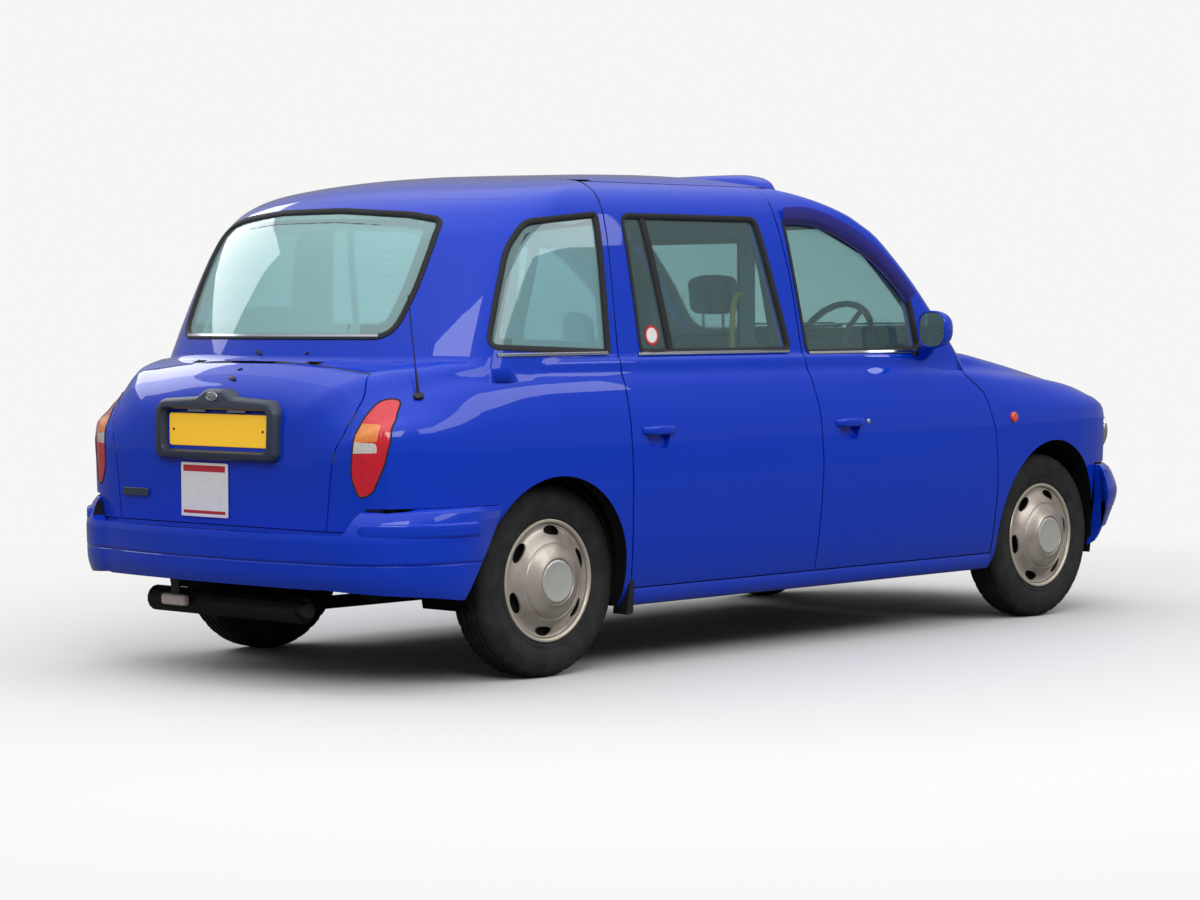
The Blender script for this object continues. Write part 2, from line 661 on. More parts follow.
# Rear window surround and the panel down to the boot lid
tail_outline = [
    (TAIL_SPLIT_Y - 0.0005, BOOT_TOP_Z), (TAIL_SPLIT_Y - 0.0005, 1.640),
    (-TAIL_SPLIT_Y + 0.0005, 1.640), (-TAIL_SPLIT_Y + 0.0005, BOOT_TOP_Z),
]
REAR_WINDOW_HALF = ((0.555, 1.172, 0.10), (0.650, 1.300, 0.25), (0.612, 1.588, 0.12))
REAR_WINDOW = REAR_WINDOW_HALF + tuple((-y, z, r) for y, z, r in reversed(REAR_WINDOW_HALF))
tail = shell_part("tail_panel", tail_outline, low=-2.4, high=-1.30, axis="X")
boolean(tail, "DIFFERENCE", prism("rear_window_hole", rounded(REAR_WINDOW), -2.4, -1.30, "X"))
sheet = greenhouse("rear_outer", 0.012)
boolean(sheet, "DIFFERENCE", greenhouse("rear_inner", 0.012 + GLASS))
boolean(sheet, "INTERSECT", prism("rear_pane", shrunk(rounded(REAR_WINDOW), GLASS_GAP), -2.4, -1.30, "X"))
piece("rear_window", sheet, CLEAR_GLASS)

# Boot lid
boot_half = [(y - half_gap, z) for y, z in BOOT_SHUT if z > BOOT_FOOT_Z]
boot_foot_y = float(np.interp(BOOT_FOOT_Z, [z for _, z in BOOT_SHUT], [y for y, _ in BOOT_SHUT])) - half_gap
boot_half = [(boot_foot_y, BOOT_FOOT_Z), *boot_half[:-1], (boot_half[-1][0], BOOT_TOP_Z - SHUT_GAP)]
boot_outline = boot_half + [(-y, z) for y, z in reversed(boot_half)]
lid = shell_part("boot_lid", boot_outline, low=-2.4, high=LID_FRONT_X, axis="X")

# Roof
HEADER_X = 0.190
REAR_HEADER_X = -1.200
SPLIT_Z = DOOR_TOP_Z + SHUT_GAP + 0.0005
roof = shell_part(
    "roof",
    [
        (-2.4, 1.6405), (REAR_HEADER_X, 1.6405), (REAR_HEADER_X, SPLIT_Z), (HEADER_X, SPLIT_Z), (HEADER_X, 1.95),
        (-2.4, 1.95),
    ],
    high=1.2,
)
for side in (-1, 1):
    near, far = sorted((side * (TAIL_SPLIT_Y - 0.0005), side * 1.2))
    boolean(roof, "DIFFERENCE", box("roof_side", (-2.5, near, 1.55), (REAR_HEADER_X + 0.05, far, SPLIT_Z)))
# Windscreen frame: the front pillars, the header and the scuttle
SCREEN = ((0.640, 1.165, 0.08), (0.560, 1.610, 0.10), (-0.560, 1.610, 0.10), (-0.640, 1.165, 0.08))
frame_side = [
    *offset_line(line_points(FRONT_SHUT, 1.080, DOOR_TOP_Z - 0.0005), half_gap),
    (-0.06, DOOR_TOP_Z + SHUT_GAP), (HEADER_X + 0.0005, DOOR_TOP_Z + SHUT_GAP), (HEADER_X + 0.0005, 1.95),
    (1.4, 1.95), (1.4, 1.080),
]
frame = shell_part("windscreen_frame", frame_side, high=1.2)
boolean(frame, "DIFFERENCE", prism("screen_hole", rounded(SCREEN), 0.2, 1.6, "X"))
BONNET = (
    (1.215, 0.0), (1.200, -0.30), (1.150, -0.600), (1.120, -0.690), (1.400, -0.668), (1.750, -0.575), (1.960, -0.480),
    (2.060, -0.400), (2.4, -0.36), (2.4, 0.0),
)
bonnet_outline = list(BONNET[:-1]) + [(x, -y) for x, y in reversed(BONNET[1:-1])]
boolean(frame, "DIFFERENCE", prism("bonnet_room", shrunk(bonnet_outline, -SHUT_GAP), 0.5, 1.4, "Z"))
boolean(frame, "DIFFERENCE", box("nose_room", (1.215, -1, 0.9), (1.6, 1, 1.3)))

# The sign is a low hump on the header, over the middle of the windscreen
SIGN_HALF = 0.285
# Height, rear x, front x, half width
SIGN_ROWS = (
    (1.600, 0.215, 0.500, SIGN_HALF + 0.030), (1.700, 0.225, 0.478, SIGN_HALF + 0.020), (1.755, 0.240, 0.458, SIGN_HALF),
    (HEIGHT - 0.010, 0.258, 0.436, SIGN_HALF - 0.040), (HEIGHT, 0.285, 0.405, SIGN_HALF - 0.090),
)
sign_rings = []
for z, back, ahead, half in SIGN_ROWS:
    sign_rings.append([
        (back, 0.0, z), (back, 0.8 * half, z), (back + 0.02, half, z), (ahead - 0.02, half, z), (ahead, 0.8 * half, z),
        (ahead, 0.0, z),
    ])
sign = skin_rings("sign", sign_rings)
boolean(sign, "DIFFERENCE", greenhouse("under_sign", 0.020))
boolean(frame, "UNION", sign)
sheet = greenhouse("screen_outer", 0.012)
boolean(sheet, "DIFFERENCE", greenhouse("screen_inner", 0.012 + GLASS))
boolean(sheet, "INTERSECT", prism("screen_pane", shrunk(rounded(SCREEN), GLASS_GAP), 0.2, 1.6, "X"))
piece("windscreen", sheet, CLEAR_GLASS)

# Front wings and bonnet
FRONT_BUMPER_END_X = 1.840
wing_outline = [
    *offset_line(line_points(FRONT_SHUT, SILL_Z - 0.02, 1.0795), half_gap, flat_top=True),
    (2.4, 1.0795), (2.4, BUMPER_TOP_Z + SHUT_GAP), (FRONT_BUMPER_END_X, BUMPER_TOP_Z + SHUT_GAP),
    (FRONT_BUMPER_END_X, SILL_Z - 0.02),
]
GRILLE_HALF = 0.360
GRILLE_TOP_Z = 0.800
wing = shell_part("front_wing_right", wing_outline, low=-1.2, high=-GRILLE_HALF - 0.0005)
boolean(wing, "DIFFERENCE", prism("bonnet_room", shrunk(bonnet_outline, -SHUT_GAP), GRILLE_TOP_Z - 0.3, 1.4, "Z"))
boolean(wing, "DIFFERENCE", arch_cutter("front_arch", FRONT_ARCH))
boolean(wing, "DIFFERENCE", box("scuttle_room", (0.80, -0.620, 0.98), (1.25, -0.30, 1.10)))
bonnet = shell_part("bonnet", bonnet_outline, low=GRILLE_TOP_Z + SHUT_GAP, high=1.4, axis="Z")
NOSE_EDGE = ((1.900, 0.506), (1.975, 0.460), (2.060, 0.386), (2.2, 0.340), (2.2, 0.700), (1.900, 0.700))
for side in (-1, 1):
    boolean(bonnet, "DIFFERENCE", prism("nose_edge", [(x, side * y) for x, y in NOSE_EDGE], 0.5, 1.4, "Z"))
FRONT_CENTRE_Z = 0.540
grille_foot = FRONT_CENTRE_Z + SEAT_GAP
grille_edge = [
    (GRILLE_HALF - 0.010, grille_foot), (GRILLE_HALF, GRILLE_TOP_Z), (-GRILLE_HALF, GRILLE_TOP_Z),
    (0.010 - GRILLE_HALF, grille_foot),
]
grille = shell_part("grille", grille_edge, low=1.90, high=2.4, axis="X")
for row in range(4):
    low_z = 0.580 + row * 0.052
    boolean(grille, "DIFFERENCE", box("grille_slot", (1.9, -0.325, low_z), (2.4, 0.325, low_z + 0.034)))
grille.data.materials[0] = BLACK_TRIM

# Bonnet stops on the grille, and hinge arms that reach back under the scuttle to the bulkhead
BONNET_STOP_Y = 0.250
BONNET_ARM_Y = 0.450
BULKHEAD_X = (1.062, 1.100)
for side in (-1, 1):
    low, high = sorted((side * (BONNET_STOP_Y - 0.015), side * (BONNET_STOP_Y + 0.015)))
    boolean(bonnet, "UNION", box("stop", (2.074, low, GRILLE_TOP_Z + SEAT_GAP), (2.098, high, GRILLE_TOP_Z + 0.030)))
    low, high = sorted((side * (BONNET_ARM_Y - 0.016), side * (BONNET_ARM_Y + 0.016)))
    boolean(bonnet, "UNION", box("riser", (1.205, low, 1.000), (1.250, high, 1.046)))
    boolean(bonnet, "UNION", box("arm", (BULKHEAD_X[1] + SEAT_GAP, low, 1.000), (1.230, high, 1.018)))

HEADLAMP = (-0.600, 0.745, 0.135, 0.115)
lamp_ring = [
    (HEADLAMP[0] + HEADLAMP[2] * math.cos(a), HEADLAMP[1] + HEADLAMP[3] * math.sin(a))
    for a in np.linspace(0, 2 * math.pi, 17)[:-1]
]
boolean(wing, "DIFFERENCE", prism("headlamp_hole", shrunk(lamp_ring, -0.001), 1.80, 2.4, "X"))
headlamp = shell_part("headlamp_right", lamp_ring, low=1.80, high=2.4, axis="X")
headlamp.data.materials[0] = CLEAR_LENS

# Bumpers: plan outlines one above the other. z, end x, half width, corner radius
REAR_BUMPER = (
    (0.285, 2.215, 0.852, 0.30), (0.300, 2.245, 0.872, 0.32), (0.400, 2.2870, 0.886, 0.33), (0.500, 2.2875, 0.890, 0.33),
    (0.560, 2.270, 0.890, 0.33), (0.598, 2.245, 0.886, 0.33), (0.612, 2.225, 0.874, 0.32),
)
FRONT_BUMPER = (
    (0.275, 2.160, 0.815, 0.42), (0.290, 2.190, 0.836, 0.44), (0.400, 2.2600, 0.868, 0.46), (0.500, 2.2875, 0.884, 0.46),
    (0.560, 2.265, 0.880, 0.46), (0.598, 2.235, 0.872, 0.45), (0.612, 2.215, 0.860, 0.44),
)
BUMPER_WALL = 0.035


def bumper_ring(z, end_x, half, corner, toward, start_x, inset):
    """Half of a bumper's plan outline: across the end, round the corner and along the side."""
    end_x, half = end_x - inset, half - inset
    back = toward * (start_x - 0.02 if inset else start_x)
    points = [(back, 0.0), (back, half)]
    bow = 0.055
    for step in range(7):
        angle = math.pi / 2 * step / 6
        points.append((toward * (end_x - bow - corner * (1 - math.sin(angle))), half - corner * (1 - math.cos(angle))))
    for step in range(1, 4):
        share = 1 - step / 3
        points.append((toward * (end_x - bow * share**2), (half - corner) * share))
    return [(x, y, z) for x, y in points]


def bumper(name, table, toward, end_x, centre_z, notch_y, ends):
    """A moulded bumper: a skin round the end of the cab with a shelf up to the body."""
    made = skin_rings(name, [bumper_ring(*row, toward, end_x, 0.0) for row in table])
    levels = ((0.20, table[2][1:]), (0.40, table[2][1:]), (0.575, table[5][1:]))
    cavity = skin_rings("cavity", [bumper_ring(z, *row, toward, end_x, BUMPER_WALL) for z, row in levels])
    shelf_z, shelf_y = centre_z - BUMPER_WALL, notch_y + 0.05
    shelf = [(-shelf_y, shelf_z), (-shelf_y, 0.9), (shelf_y, 0.9), (shelf_y, shelf_z)]
    boolean(cavity, "DIFFERENCE", prism("shelf_room", shelf, -2.5, 2.5, "X"))
    boolean(made, "DIFFERENCE", cavity)
    notch = [(notch_y, 0.9), (notch_y, BUMPER_TOP_Z), (notch_y - 0.045, centre_z)]
    notch += [(-y, z) for y, z in reversed(notch)]
    boolean(made, "DIFFERENCE", prism("notch", notch, -2.5, 2.5, "X"))
    boolean(made, "DIFFERENCE", lower_body("body_room", -0.0012))
    boolean(made, "DIFFERENCE", prism("ends", ends, -1.2, 1.2))
    return piece(name, made, PAINT)


REAR_BUMPER_ENDS = (
    (-1.55, 0.70), (-1.702, 0.70), (-1.702, 0.600), (-1.778, 0.460), (-1.885, 0.270), (-1.885, 0.1), (-1.55, 0.1),
)
FRONT_BUMPER_ENDS = (
    (1.60, 0.70), (1.842, 0.70), (1.842, 0.590), (1.868, 0.460), (1.868, 0.340), (1.845, 0.26), (1.845, 0.1),
    (1.60, 0.1),
)
bumper("rear_bumper", REAR_BUMPER, -1, -REAR_BUMPER_END_X - 0.04, BUMPER_CENTRE_Z, NOTCH_Y, REAR_BUMPER_ENDS)
bumper("front_bumper", FRONT_BUMPER, 1, FRONT_BUMPER_END_X - 0.04, FRONT_CENTRE_Z, 0.420, FRONT_BUMPER_ENDS)


def turned(name, profile, centre, finish, steps=40, outward=-1):
    """A turned piece on an axle along Y: the profile is (radius, distance outward from the centre)."""
    mesh = bpy.data.meshes.new(name)
    working = bmesh.new()
    points = [working.verts.new((r, 0.0, w)) for r, w in profile]
    for a, b in zip(points, points[1:]):
        working.edges.new((a, b))
    if profile[0][0] > 0:
        working.edges.new((points[-1], points[0]))
    working.to_mesh(mesh)
    working.free()
    made = new_object(name, mesh, finish)
    screw = made.modifiers.new("turn", "SCREW")
    screw.steps = steps
    screw.render_steps = steps
    screw.use_merge_vertices = True
    screw.merge_threshold = 0.00005
    screw.use_smooth_shade = True
    bpy.context.view_layer.update()
    graph = bpy.context.evaluated_depsgraph_get()
    whole = bpy.data.meshes.new_from_object(made.evaluated_get(graph))
    made.modifiers.clear()
    working = bmesh.new()
    working.from_mesh(whole)
    bmesh.ops.remove_doubles(working, verts=working.verts, dist=0.00005)
    turn = Matrix.Rotation(-math.pi / 2 * outward, 4, "X")
    working.transform(turn)
    bmesh.ops.recalc_face_normals(working, faces=working.faces)
    working.to_mesh(mesh)
    working.free()
    made.location = centre
    return made


# Wheels and tyres: (radius, distance outward from the middle of the tread)
TYRE_PROFILE = (
    (RIM_SEAT_RADIUS + 0.001, -0.060), (RIM_RADIUS + 0.004, -0.072), (0.255, -0.086), (0.292, -0.0850), (0.322, -0.068),
    (TYRE_RADIUS - 0.002, -0.050), (TYRE_RADIUS, 0.0), (TYRE_RADIUS - 0.002, 0.050), (0.322, 0.068), (0.292, 0.0850),
    (0.255, 0.086), (RIM_RADIUS + 0.004, 0.072), (RIM_SEAT_RADIUS + 0.001, 0.060),
)
WHEEL_PROFILE = (
    (0.0, 0.050), (HUB_BORE, 0.050), (HUB_BORE, 0.022), (0.105, 0.018), (0.150, 0.034),
    (RIM_SEAT_RADIUS - 0.012, 0.020), (RIM_SEAT_RADIUS - 0.010, -0.060), (RIM_RADIUS - 0.008, -0.0755),
    (RIM_RADIUS, -0.0735), (RIM_SEAT_RADIUS, -0.060), (RIM_SEAT_RADIUS, 0.060), (RIM_RADIUS, 0.0725),
    (0.188, 0.056), (0.165, 0.046), (0.140, 0.047), (0.095, 0.064), (0.062, 0.068), (0.0, 0.064),
)
VENTS = 6
VENT_RADIUS = 0.158
WHEELS = (
    ("front_right", FRONT_AXLE_X, -1), ("front_left", FRONT_AXLE_X, 1),
    ("rear_right", REAR_AXLE_X, -1), ("rear_left", REAR_AXLE_X, 1),
)
for place, axle_x, side in WHEELS:
    centre = (axle_x, side * TRACK_HALF, WHEEL_Z)
    turned(f"tyre_{place}", TYRE_PROFILE, centre, TYRE_RUBBER, 32, side)
    turned(f"wheel_{place}", WHEEL_PROFILE, centre, WHEEL_PAINT, 24, side)

# Vent slots near the rim of each wheel trim
for place, axle_x, side in WHEELS:
    wheel = bpy.data.objects[f"wheel_{place}"]
    wheel.data.transform(Matrix.Translation(wheel.location))
    wheel.location = (0, 0, 0)
    for vent in range(VENTS):
        angle = 2 * math.pi * (vent + 0.5) / VENTS
        spot = (axle_x + VENT_RADIUS * math.cos(angle), WHEEL_Z + VENT_RADIUS * math.sin(angle))
        low, high = (side * (TRACK_HALF - 0.02), side * (TRACK_HALF + 0.09))
        boolean(wheel, "DIFFERENCE", rod("vent", (spot[0], low, spot[1]), (spot[0], high, spot[1]), 0.019, 8))

# Door mirrors, each on the corner of its front door
MIRROR = (0.590, 0.950, 1.183)
MIRROR_SIZE = (0.060, MIRROR_HALF_WIDTH - 0.950, 0.072)
door = bpy.data.objects["door_front_right"]
working = bmesh.new()
bmesh.ops.create_uvsphere(working, u_segments=12, v_segments=8, radius=1.0)
bmesh.ops.scale(working, vec=MIRROR_SIZE, verts=working.verts)
bmesh.ops.translate(working, vec=(MIRROR[0], -MIRROR[1], MIRROR[2]), verts=working.verts)
shell = helper("mirror", mesh_of("mirror", working))
boolean(shell, "DIFFERENCE", box("mirror_face", (0.4, -1.1, 1.0), (MIRROR[0] - 0.034, -0.8, 1.4)))
arm_top = (MIRROR[0] + 0.01, -MIRROR[1] + 0.02, MIRROR[2] - 0.035)
boolean(shell, "UNION", rod("mirror_arm", arm_top, (0.665, -0.800, 1.070), 0.026, 10))
boolean(door, "UNION", shell)

# Pull handles, each over a hollow at the rear edge of its door. Door, x of the middle, height
HANDLES = (("door_rear_right", -0.929, 0.830), ("door_front_right", 0.135, 0.828))
HANDLE_HALF = 0.085
HANDLE_OUT = 0.912
for door_name, x, z in HANDLES:
    door = bpy.data.objects[door_name]
    hollow = ((x - 0.062, z + 0.006), (x + 0.062, z + 0.006), (x + 0.045, z - 0.050), (x - 0.045, z - 0.050))
    boolean(door, "DIFFERENCE", prism("hollow", hollow, -0.95, -0.868))
    bar = prism("handle", (
        (x - HANDLE_HALF, z), (x - HANDLE_HALF + 0.012, z + 0.020), (x + HANDLE_HALF - 0.012, z + 0.020),
        (x + HANDLE_HALF, z), (x + HANDLE_HALF - 0.010, z - 0.012), (x - HANDLE_HALF + 0.010, z - 0.012),
    ), -HANDLE_OUT, -0.870)
    boolean(bar, "DIFFERENCE", box("finger_room", (x - 0.058, -0.896, z - 0.05), (x + 0.058, -0.8, z + 0.05)))
    boolean(door, "UNION", bar)

# Housing of the rear number plate, with a peaked top
PLATE = (0.520, 0.111)
PLATE_Z = 0.856
HOUSING_HALF = 0.322
HOUSING_OUT_X = -2.208
housing_half = ((HOUSING_HALF, 0.762), (HOUSING_HALF + 0.004, 0.925), (0.270, 0.957), (0.085, 0.972), (0.060, 0.986))
housing_edge = list(housing_half) + [(-y, z) for y, z in reversed(housing_half)]
housing = prism("housing", housing_edge, HOUSING_OUT_X, -2.135, "X")
plate_low = (HOUSING_OUT_X - 0.01, -PLATE[0] / 2 - 0.004, PLATE_Z - PLATE[1] / 2 - 0.004)
plate_high = (HOUSING_OUT_X + 0.008, PLATE[0] / 2 + 0.004, PLATE_Z + PLATE[1] / 2 + 0.004)
boolean(housing, "DIFFERENCE", box("plate_room", plate_low, plate_high))
boolean(lid, "UNION", housing)
BOOT_PAD_Y = 0.300
for side in (-1, 1):
    low, high = sorted((side * (BOOT_PAD_Y - 0.02), side * (BOOT_PAD_Y + 0.02)))
    boolean(lid, "UNION", box("hinge_arm", (LID_FRONT_X - 0.030, low, 1.032), (-2.004, high, 1.056)))
    boolean(lid, "UNION", box("hinge_pad", (-2.018, low, 1.050), (-2.004, high, BOOT_TOP_Z - SEAT_GAP)))

# Floor, sills, wheelhouses, chassis rails and door pillars
FLOOR_Z = 0.300
FLOOR_FOOT_Z = 0.258
BOOT_FLOOR_Z = 0.560
BOOT_FLOOR_FOOT_Z = 0.505
RAIL_Y = (0.335, 0.395)
RAIL_Z = (0.300, 0.420)
floor_side = [
    (BULKHEAD_X[1], FLOOR_FOOT_Z), (BULKHEAD_X[1], 1.030), (BULKHEAD_X[0], 1.030), (BULKHEAD_X[0], 0.480),
    (0.900, FLOOR_Z), (-0.900, FLOOR_Z), (-0.940, BOOT_FLOOR_Z),
    (-2.080, BOOT_FLOOR_Z), (-2.080, BOOT_FLOOR_FOOT_Z), (-1.010, BOOT_FLOOR_FOOT_Z), (-0.990, FLOOR_FOOT_Z),
]
floor = prism("floor_pan", floor_side, -0.765, 0.765)
bulkhead_corner = ((0.500, 1.04), (0.800, 1.04), (0.800, 0.860), (0.720, 0.920))
for side in (-1, 1):
    boolean(floor, "DIFFERENCE", prism("corner", [(side * y, z) for y, z in bulkhead_corner], 1.0, 1.2, "X"))
WHEELHOUSE_Y = (0.590, 0.795)
WHEELHOUSE = (REAR_AXLE_X - 0.020, 0.350, 0.392, 0.372)
for side in (-1, 1):
    low, high = sorted((side * WHEELHOUSE_Y[0], side * 0.9))
    boolean(floor, "DIFFERENCE", box("wheel_room", (-2.2, low, 0.2), (-1.012, high, 0.8)))
    low, high = sorted((side * WHEELHOUSE_Y[0], side * WHEELHOUSE_Y[1]))
    inner = -0.02 if side > 0 else 0.0
    outer = 0.02 if side < 0 else 0.0
    house = arch_cutter("house", WHEELHOUSE, 0.012, low + inner, high + outer)
    room = sorted((side * WHEELHOUSE_Y[0], side))
    boolean(house, "DIFFERENCE", arch_cutter("house_room", WHEELHOUSE, 0.0, *room))
    boolean(house, "DIFFERENCE", box("house_foot", (-2.2, -1, -0.1), (-0.9, 1, 0.520)))
    boolean(floor, "UNION", house)
    low, high = sorted((side * RAIL_Y[0], side * RAIL_Y[1]))
    boolean(floor, "UNION", box("front_rail", (1.05, low, RAIL_Z[0]), (2.140, high, RAIL_Z[1])))
    boolean(floor, "UNION", box("front_iron", (2.100, low, 0.375), (2.188, high, RAIL_Z[1])))
    boolean(floor, "UNION", box("rear_rail", (-2.150, low, 0.430), (-0.98, high, 0.520)))
    boolean(floor, "UNION", box("bumper_iron", (-2.245, low, 0.430), (-2.100, high, 0.480)))
    low, high = sorted((side * 0.740, side * 0.800))
    boolean(floor, "UNION", box("sill", (-0.985, low, 0.232), (1.060, high, 0.284)))
POST_OUTER = (
    (0.770, 0.265), (0.822, 0.700), (0.770, 1.080), (0.740, 1.400), (0.706, 1.600), (0.684, 1.632), (0.660, 1.650),
)
POST_INNER = ((0.620, 1.640), (0.660, 1.580), (0.698, 1.400), (0.728, 1.080), (0.778, 0.700), (0.720, 0.265))
POST_BACK = 0.050
POST_AHEAD = 0.025
for side in (-1, 1):
    post = prism("post", [(side * y, z) for y, z in POST_OUTER + POST_INNER], -0.5, 0.2, "X")
    shut = line_points(MIDDLE_SHUT, 0.20, 1.80)
    band = shifted(shut, -POST_BACK) + list(reversed(shifted(shut, POST_AHEAD)))
    boolean(post, "INTERSECT", prism("band", band, -1, 1))
    boolean(floor, "UNION", post)
    front_post = [(side * 0.745, 0.262), (side * 0.770, 0.262), (side * 0.805, 0.500), (side * 0.814, 0.700)]
    front_post += [(side * 0.809, 0.850), (side * 0.745, 0.850)]
    boolean(floor, "UNION", prism("front_post", front_post, 1.040, 1.088, "X"))
for bumper_name, gap in (("front_bumper", -SEAT_GAP), ("rear_bumper", SEAT_GAP)):
    room = copy_of(bpy.data.objects[bumper_name], "bumper_room", group=CUTTERS)
    room.data.transform(Matrix.Translation((gap, 0, 0)))
    boolean(floor, "DIFFERENCE", room)
floor = piece("floor_pan", floor, CHASSIS)

# Door hinges: two short straps on each door that reach in to the pillar behind the hinge line
# Door, front and rear x of the straps, heights of the lower and upper strap
STRAPS = (
    ("door_rear_right", (-0.058, -0.045), (0.520, 0.660)),
    ("door_front_right", (1.046, 1.059), (0.520, 0.660)),
)
for door_name, (rear_x, front_x), heights in STRAPS:
    for z in heights:
        strap = box("strap", (rear_x, -0.850, z - 0.025), (front_x, -0.700, z + 0.025))
        post_room = copy_of(floor, "post_room", group=CUTTERS)
        post_room.data.transform(Matrix.Translation((0, -SEAT_GAP, 0)))
        boolean(strap, "DIFFERENCE", post_room)
        boolean(strap, "DIFFERENCE", box("inside", (rear_x - 0.1, -0.785, z - 0.1), (front_x + 0.1, 0.0, z + 0.1)))
        boolean(bpy.data.objects[door_name], "UNION", strap)

# Partition between the driver and the passengers
partition = box("partition", (-0.150, -0.640, FLOOR_Z + SEAT_GAP), (-0.122, 0.640, 1.585))
boolean(partition, "DIFFERENCE", box("partition_window", (-0.2, -0.590, 1.000), (-0.1, 0.590, 1.530)))
partition = piece("partition", partition, CLOTH)

# Seats
seat = box("driver_seat", (0.030, -0.630, 0.520), (0.500, -0.150, 0.680))
seat_back = ((-0.110, 1.230), (-0.020, 1.230), (0.090, 0.640), (0.040, 0.530), (-0.040, 0.560))
boolean(seat, "UNION", prism("back", seat_back, -0.620, -0.160))
boolean(seat, "UNION", box("head_rest", (-0.110, -0.500, 1.200), (-0.030, -0.280, 1.400)))
boolean(seat, "UNION", box("pedestal", (0.080, -0.560, FLOOR_Z + SEAT_GAP), (0.440, -0.220, 0.540)))
piece("driver_seat", seat, CLOTH)
bench = [
    (-0.980, BOOT_FLOOR_Z + SEAT_GAP), (-0.960, 0.700), (-1.000, 0.740), (-1.480, 0.700), (-1.610, 1.200),
    (-1.700, 1.215), (-1.720, 1.150), (-1.600, BOOT_FLOOR_Z + SEAT_GAP),
]
piece("rear_seat", prism("rear_seat", bench, -0.565, 0.565), CLOTH)

# Dashboard, column and steering wheel; the driver sits on the right
DASH_FRONT_X = BULKHEAD_X[0] - SEAT_GAP
dash_side = [
    (0.760, 0.860), (0.735, 0.980), (0.800, 1.040), (0.960, 1.040), (DASH_FRONT_X, 1.000), (DASH_FRONT_X, 0.720),
    (0.900, 0.700), (0.820, 0.780),
]
dashboard = prism("dashboard", dash_side, -0.650, 0.650)
WHEEL_CENTRE = Vector((0.660, -0.380, 1.125))
COLUMN_TILT = math.radians(28)
HUB_DEPTH = 0.035
COLUMN = Vector((math.cos(COLUMN_TILT), 0.0, -math.sin(COLUMN_TILT)))
column_top = WHEEL_CENTRE + COLUMN * (HUB_DEPTH + SEAT_GAP)
column = rod("column", column_top, WHEEL_CENTRE + COLUMN * 0.300, 0.032, 14)
boolean(dashboard, "UNION", column, solver="EXACT")
piece("dashboard", dashboard, BLACK_TRIM)
STEER_RADIUS = 0.180
working = bmesh.new()
ring = []
sections = 20
for step in range(sections):
    angle = 2 * math.pi * step / sections
    loop = []
    for turn in range(6):
        around = 2 * math.pi * turn / 6
        reach = STEER_RADIUS + 0.014 * math.cos(around)
        loop.append(working.verts.new((reach * math.cos(angle), reach * math.sin(angle), 0.014 * math.sin(around))))
    ring.append(loop)
for loop_a, loop_b in zip(ring, ring[1:] + ring[:1]):
    for turn in range(6):
        working.faces.new((loop_a[turn], loop_a[(turn + 1) % 6], loop_b[(turn + 1) % 6], loop_b[turn]))
steering = helper("steering_wheel", mesh_of("steering_wheel", working))
for angle in (math.radians(90), math.radians(210), math.radians(330)):
    tip = (STEER_RADIUS * math.cos(angle), STEER_RADIUS * math.sin(angle), 0.0)
    boolean(steering, "UNION", rod("spoke", (0, 0, -0.012), tip, 0.011, 8))
boolean(steering, "UNION", rod("hub", (0, 0, -HUB_DEPTH), (0, 0, 0.012), 0.048, 16))
turn = Vector((0, 0, 1)).rotation_difference(-COLUMN).to_matrix().to_4x4()
steering.data.transform(Matrix.Translation(WHEEL_CENTRE) @ turn)
piece("steering_wheel", steering, BLACK_TRIM)

# Engine, front suspension and knuckles
piece("engine", box("engine", (1.200, -0.285, RAIL_Z[0] + SEAT_GAP), (1.800, 0.285, 0.900)), CAST_IRON)
KINGPIN_Y = TRACK_HALF - KINGPIN_INSET
ARM_Z = 0.205
UPPER_ARM_Z = 0.470
subframe = box("front_subframe", (1.440, -0.420, 0.190), (1.575, 0.420, RAIL_Z[0] - SEAT_GAP))
for side in (-1, 1):
    low, high = sorted((side * 0.398, side * 0.420))
    boolean(subframe, "UNION", box("tower", (1.470, low, 0.28), (1.545, high, 0.490)))
    for z, reach in ((ARM_Z + 0.012, 0.40), (UPPER_ARM_Z, 0.41)):
        arm_end = (FRONT_AXLE_X, side * (KINGPIN_Y - 0.01), z)
        boolean(subframe, "UNION", rod("arm", (FRONT_AXLE_X, side * reach, z), arm_end, 0.016, 10))
        eye_foot, eye_top = ((FRONT_AXLE_X, side * KINGPIN_Y, z + rise) for rise in (-0.020, 0.020))
        boolean(subframe, "UNION", rod("eye", eye_foot, eye_top, 0.034, 16))
piece("front_subframe", subframe, CHASSIS)
pin_foot = (FRONT_AXLE_X, -KINGPIN_Y, ARM_Z + 0.032 + SEAT_GAP)
pin_top = (FRONT_AXLE_X, -KINGPIN_Y, UPPER_ARM_Z - 0.020 - SEAT_GAP)
knuckle = rod("knuckle", pin_foot, pin_top, 0.027, 16)
pin_middle = (FRONT_AXLE_X, -KINGPIN_Y, WHEEL_Z)
stub_end = (FRONT_AXLE_X, -TRACK_HALF - 0.046, WHEEL_Z)
boolean(knuckle, "UNION", rod("stub", pin_middle, stub_end, HUB_BORE - 0.001, 20))
disc_inner = (FRONT_AXLE_X, -KINGPIN_Y - 0.022, WHEEL_Z)
disc_outer = (FRONT_AXLE_X, -TRACK_HALF - 0.006, WHEEL_Z)
boolean(knuckle, "UNION", rod("disc", disc_inner, disc_outer, 0.094, 20))
knuckle = piece("knuckle_right", knuckle, CHASSIS)

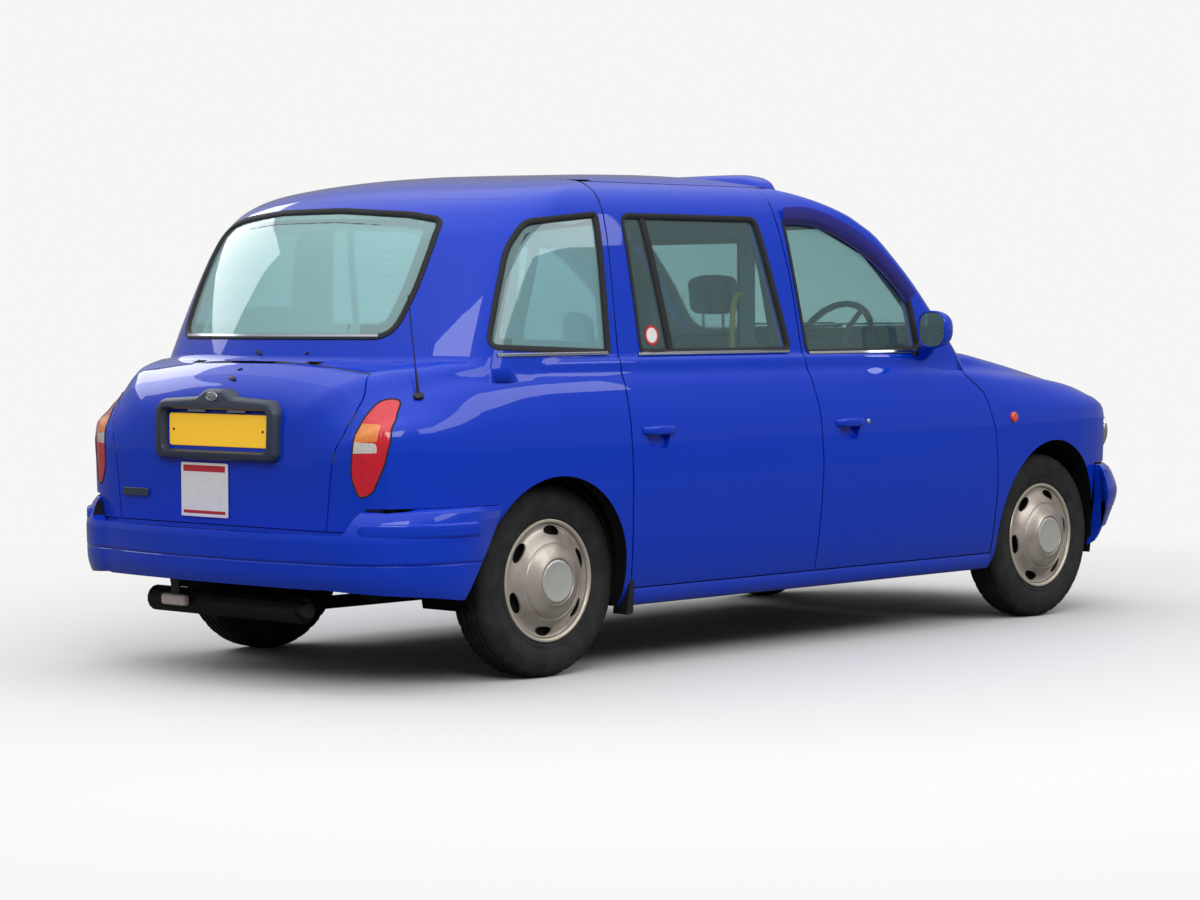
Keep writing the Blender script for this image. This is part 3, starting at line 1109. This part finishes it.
# Rear axle with its springs
axle_end = TRACK_HALF + 0.046
axle = rod("rear_axle", (REAR_AXLE_X, -axle_end, WHEEL_Z), (REAR_AXLE_X, axle_end, WHEEL_Z), HUB_BORE - 0.001, 20)
boolean(axle, "UNION", rod("tube", (REAR_AXLE_X, -0.60, WHEEL_Z), (REAR_AXLE_X, 0.60, WHEEL_Z), 0.040, 14))
casing_back, casing_nose = ((REAR_AXLE_X + along, 0.0, WHEEL_Z) for along in (-0.10, 0.13))
boolean(axle, "UNION", rod("casing", casing_back, casing_nose, 0.115, 16))
for side in (-1, 1):
    drum_inner, drum_outer = ((REAR_AXLE_X, side * out, WHEEL_Z) for out in (0.585, TRACK_HALF + 0.006))
    boolean(axle, "UNION", rod("drum", drum_inner, drum_outer, 0.125, 18))
    spring_foot, spring_top = ((REAR_AXLE_X, side * 0.470, z) for z in (WHEEL_Z, BOOT_FLOOR_FOOT_Z - SEAT_GAP))
    boolean(axle, "UNION", rod("spring", spring_foot, spring_top, 0.055, 14))
    link_foot, link_top = (REAR_AXLE_X, side * 0.365, WHEEL_Z - 0.02), (-1.000, side * 0.365, 0.330)
    boolean(axle, "UNION", rod("link", link_foot, link_top, 0.018, 10))
piece("rear_axle", axle, CHASSIS)

# Exhaust: front pipe, middle silencer, pipe under the axle and the cross silencer below the bumper
EXHAUST_Z = 0.212
exhaust = rod("exhaust", (1.150, 0.180, EXHAUST_Z), (-2.060, 0.180, EXHAUST_Z), 0.024, 12)
exhaust_pieces = (
    rod("middle_silencer", (0.10, 0.184, EXHAUST_Z - 0.014), (-0.45, 0.184, EXHAUST_Z - 0.014), 0.058, 14),
    rod("rear_silencer", (-2.085, 0.460, 0.252), (-2.085, -0.330, 0.252), 0.045, 14),
    rod("tail_pipe", (-2.085, -0.300, 0.262), (-2.150, -0.420, 0.262), 0.024, 12),
    rod("hanger", (-2.085, 0.362, 0.262), (-2.085, 0.362, 0.4296), 0.008, 8),
)
boolean(exhaust, "UNION", *exhaust_pieces, solver="EXACT")
piece("exhaust", exhaust, CHASSIS)

# The left side
for name in (
    "door_front", "door_rear", "door_glass_front", "door_glass_rear", "quarter_panel", "quarter_glass", "tail_lamp",
    "front_wing", "headlamp", "knuckle",
):
    mirrored(bpy.data.objects[f"{name}_right"], f"{name}_left")

bpy.data.objects.remove(SHELL, do_unlink=True)


WELD = 0.00003


def drop_crumbs(working, least=1e-7):
    """Removes islands of next to no volume, which a cut along a facet can leave."""
    left = set(working.faces)
    crumbs = []
    while left:
        island = {left.pop()}
        edge = list(island)
        while edge:
            face = edge.pop()
            for near in (f for e in face.edges for f in e.link_faces):
                if near in left:
                    left.discard(near)
                    island.add(near)
                    edge.append(near)
        volume = 0.0
        for face in island:
            first = face.verts[0].co
            for a, b in zip(face.verts[1:-1], face.verts[2:]):
                volume += first.dot(a.co.cross(b.co)) / 6
        if abs(volume) < least:
            crumbs.extend(island)
    bmesh.ops.delete(working, geom=crumbs, context="FACES")


def tidy(made):
    """Cleans what the cuts leave: crumbs, doubled corners and needless edges."""
    working = bmesh.new()
    working.from_mesh(made.data)
    drop_crumbs(working)
    bmesh.ops.remove_doubles(working, verts=working.verts, dist=WELD)
    bmesh.ops.dissolve_degenerate(working, edges=working.edges, dist=WELD)
    bmesh.ops.dissolve_limit(
        working, angle_limit=math.radians(1.2), verts=working.verts, edges=working.edges, delimit=set()
    )
    bmesh.ops.triangulate(working, faces=[f for f in working.faces if len(f.verts) > 4])
    drop_crumbs(working)
    working.to_mesh(made.data)
    working.free()


for made in PARTS.objects:
    tidy(made)
